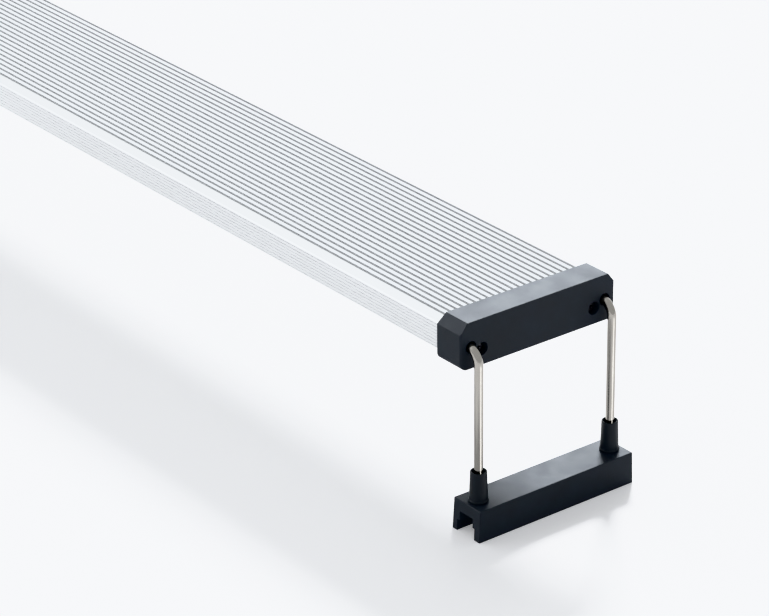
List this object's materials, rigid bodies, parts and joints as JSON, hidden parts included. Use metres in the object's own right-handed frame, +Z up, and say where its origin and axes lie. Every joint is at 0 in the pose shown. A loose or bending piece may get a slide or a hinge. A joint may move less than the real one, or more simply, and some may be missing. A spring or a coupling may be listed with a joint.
{
  "type": "led aquarium light",
  "caption": "Slim aquarium light: ribbed aluminium housing with plastic end caps, on sliding bent-rod legs whose slotted feet sit over a tank's rim.",
  "frame": {"origin": "on the ground plane under the feet, midway between them", "axes": "+X along the housing towards the end cap without the inlet, +Z up, -Y the front"},
  "size_m": [0.6134, 0.0866, 0.0973],
  "materials": {
    "anodised_aluminium": "fine satin anodised",
    "black_plastic": "fine moulded texture",
    "silicone": "matt",
    "clear_lens": "clear, polished",
    "wire_insulation": "smooth",
    "inlet_plastic": "smooth",
    "plated_metal": "nickel plated",
    "screw_steel": "plated",
    "board_mask": "white solder mask, satin",
    "thermal_pad": "matt",
    "led_package": "satin",
    "phosphor": "smooth, in the LEDs' windows",
    "resistor_body": "satin",
    "bush_nylon": "smooth",
    "socket_rubber": "smooth, satin",
    "stainless": "fine satin"
  },
  "bodies": {
    "fixture": {"housing": "anodised_aluminium", "end_cap_right": "black_plastic", "end_cap_left": "black_plastic", "end_gasket_right": "silicone", "end_gasket_left": "silicone", "cover_lens": "clear_lens", "lens_seal_front": "silicone", "lens_seal_back": "silicone", "supply_wires": "wire_insulation", "dc_inlet": "inlet_plastic", "inlet_pin": "plated_metal", "inlet_nut": "plated_metal", "cap_screws_right": "screw_steel", "cap_screws_left": "screw_steel", "jumper_wires_left": "wire_insulation", "jumper_wires_right": "wire_insulation", "led_board_left": "board_mask", "thermal_pad_left": "thermal_pad", "leds_left": "led_package", "resistors_left": "resistor_body", "board_screws_left": "screw_steel", "led_board_centre": "board_mask", "thermal_pad_centre": "thermal_pad", "leds_centre": "led_package", "resistors_centre": "resistor_body", "board_screws_centre": "screw_steel", "led_board_right": "board_mask", "thermal_pad_right": "thermal_pad", "leds_right": "led_package", "resistors_right": "resistor_body", "board_screws_right": "screw_steel", "rod_bush_right_front": "bush_nylon", "rod_bush_right_back": "bush_nylon", "rod_bush_left_front": "bush_nylon", "rod_bush_left_back": "bush_nylon"},
    "leg_right": {"foot_right": "black_plastic", "rod_right_front": "stainless", "slide_sleeve_right_front": "bush_nylon", "rod_socket_right_front": "socket_rubber", "rod_right_back": "stainless", "slide_sleeve_right_back": "bush_nylon", "rod_socket_right_back": "socket_rubber"},
    "leg_left": {"foot_left": "black_plastic", "rod_left_front": "stainless", "slide_sleeve_left_front": "bush_nylon", "rod_socket_left_front": "socket_rubber", "rod_left_back": "stainless", "slide_sleeve_left_back": "bush_nylon", "rod_socket_left_back": "socket_rubber"}
  },
  "joints": [
    {"name": "leg_right_slide", "type": "slide", "parent": "fixture", "child": "leg_right", "axis": [1, 0, 0], "range_m": [0, 0.045]},
    {"name": "leg_left_slide", "type": "slide", "parent": "fixture", "child": "leg_left", "axis": [-1, 0, 0], "range_m": [0, 0.045]}
  ]
}
